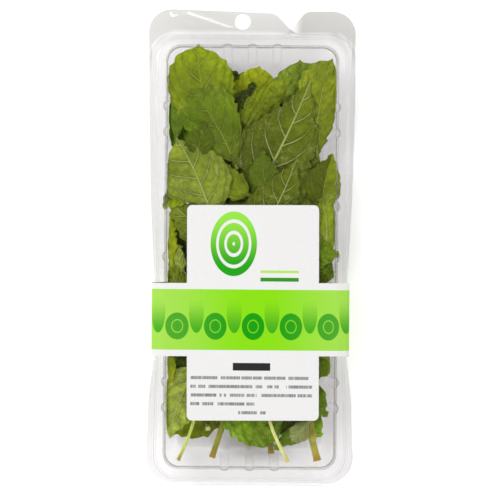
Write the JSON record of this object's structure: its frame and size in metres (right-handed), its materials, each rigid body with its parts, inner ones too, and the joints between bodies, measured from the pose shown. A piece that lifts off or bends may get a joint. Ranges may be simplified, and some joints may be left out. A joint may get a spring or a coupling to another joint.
{
  "type": "clamshell pack of fresh cut mint",
  "caption": "Clear hinged plastic clamshell pack with hang tabs, filled with fresh cut mint sprigs and closed by a paper seal that wraps round it.",
  "frame": {"origin": "middle of the pack's outline, on the surface that its feet stand on", "axes": "+Z out of the lid; +Y along the pack, from the hinged bottom edge towards the hang tabs; +X to the right as seen from the lid with the tabs at the top"},
  "size_m": [0.0872, 0.1999, 0.0243],
  "materials": {
    "clear_plastic": "clear thermoformed sheet, high gloss",
    "seal_paper": "smooth coated white paper with a printed green band",
    "seal_band": "smooth coated paper, bright green",
    "mint": "fresh leaf, matte, crinkled"
  },
  "bodies": {
    "tray": {"tray": "clear_plastic", "seal_tail_left": "seal_band", "seal_tail_right": "seal_band", "sprig_1": "mint", "sprig_2": "mint", "sprig_3": "mint", "sprig_4": "mint", "sprig_5": "mint", "sprig_6": "mint"},
    "lid": {"lid": "clear_plastic", "seal_front": "seal_paper"}
  },
  "joints": [
    {"name": "lid_hinge", "type": "hinge", "parent": "tray", "child": "lid", "pos_m": [0, -0.0993, 0.02055], "axis": [1, 0, 0], "range_deg": [0, 180]}
  ]
}
